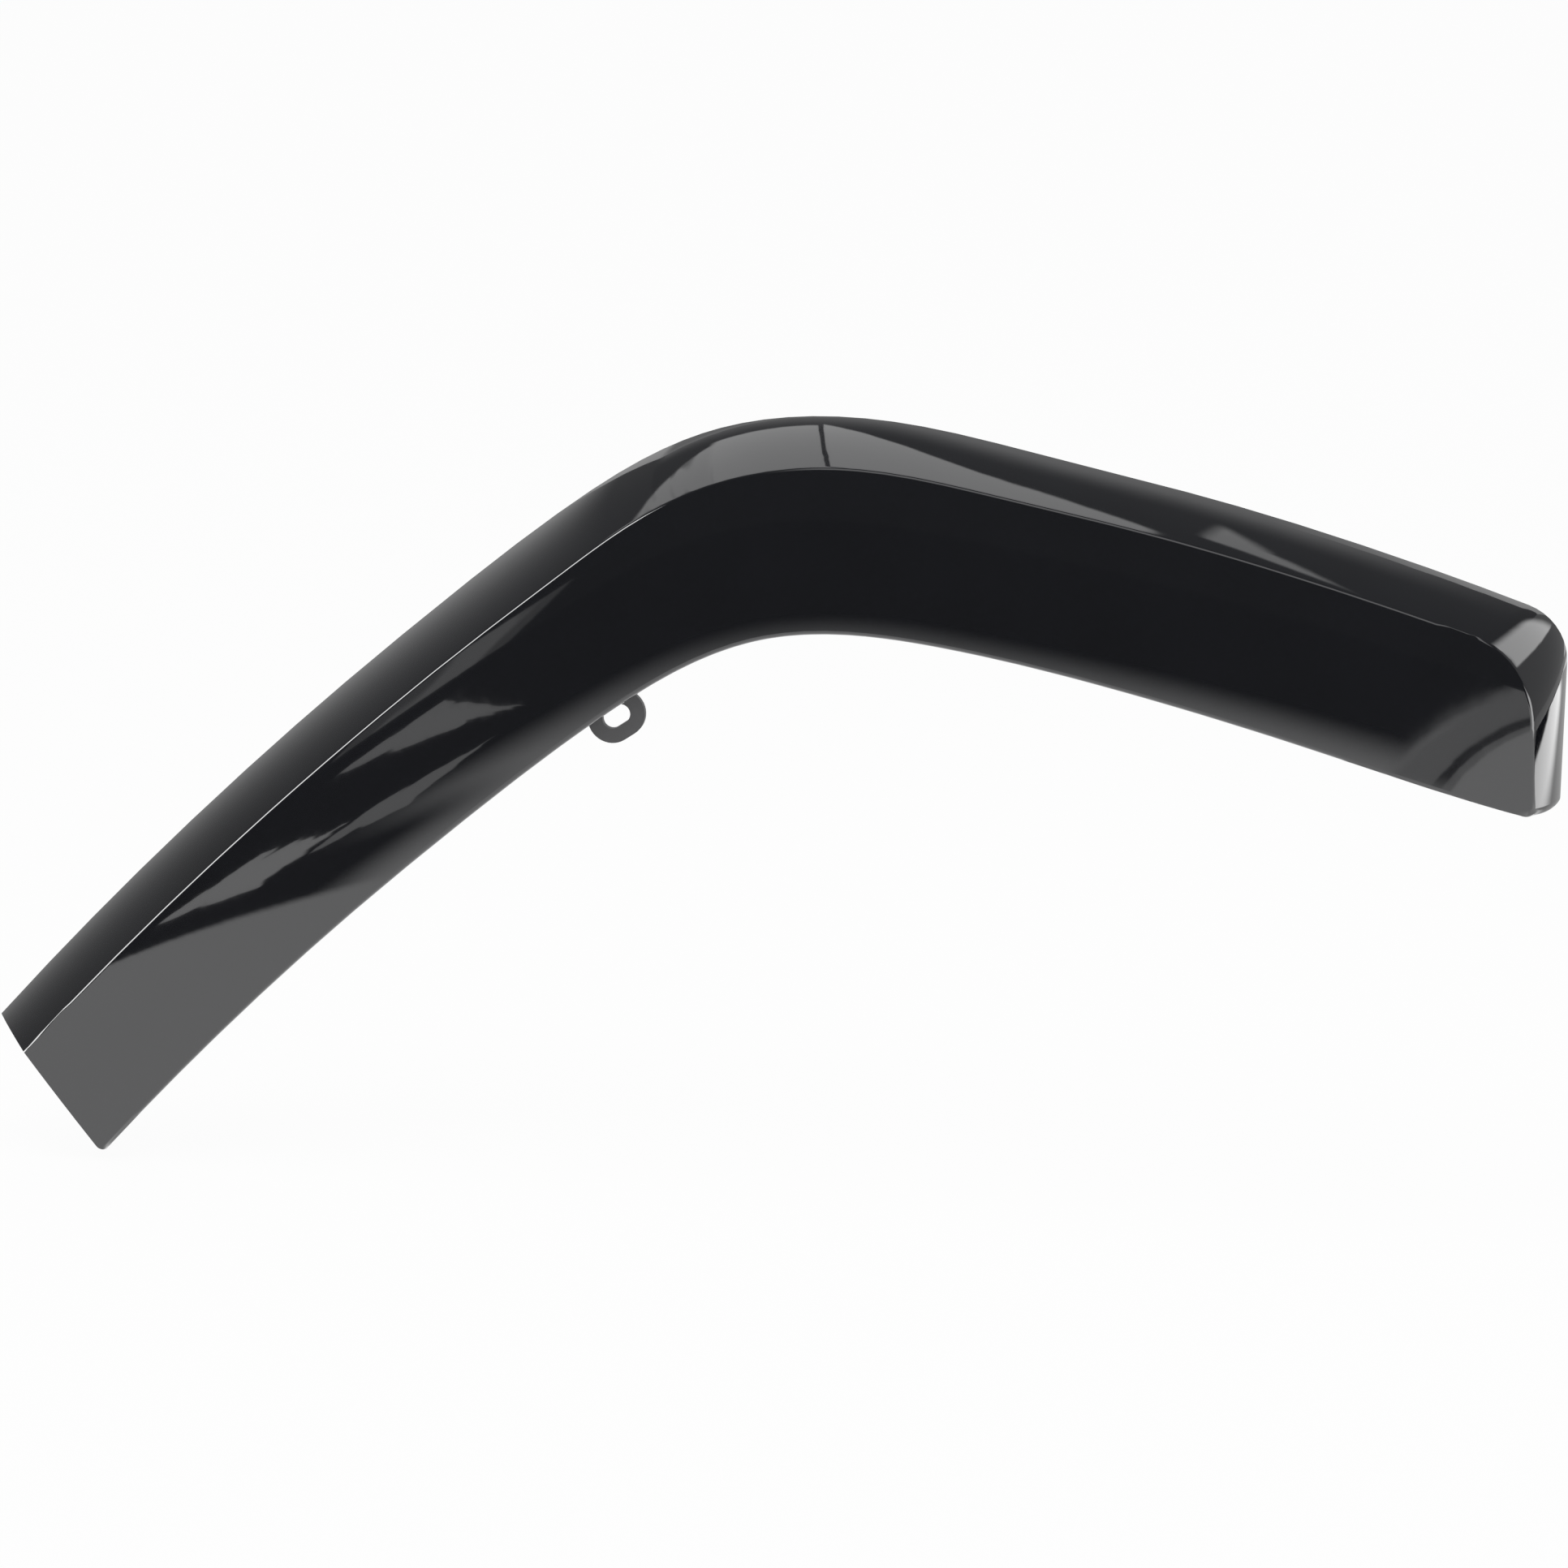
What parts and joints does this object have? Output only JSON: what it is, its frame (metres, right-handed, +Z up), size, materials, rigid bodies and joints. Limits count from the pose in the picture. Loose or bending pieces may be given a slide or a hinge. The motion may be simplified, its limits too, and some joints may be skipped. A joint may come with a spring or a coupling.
{
  "type": "quarter panel molding",
  "caption": "Gloss black moulded wheel arch trim: a bent leg and run with a crowned face, sloped shoulder, closed end and slotted fixing tab, hollow behind.",
  "frame": {"origin": "centre of the slot in the fixing tab, on the tab's rear face", "axes": "+X along the car towards the closed end, +Z up, the show face looks along -Y"},
  "size_m": [0.7961, 0.0401, 0.3959],
  "materials": {
    "black_plastic": "polished black on the show side, plain moulded black behind"
  },
  "bodies": {
    "root": {"molding": "black_plastic"}
  },
  "joints": []
}
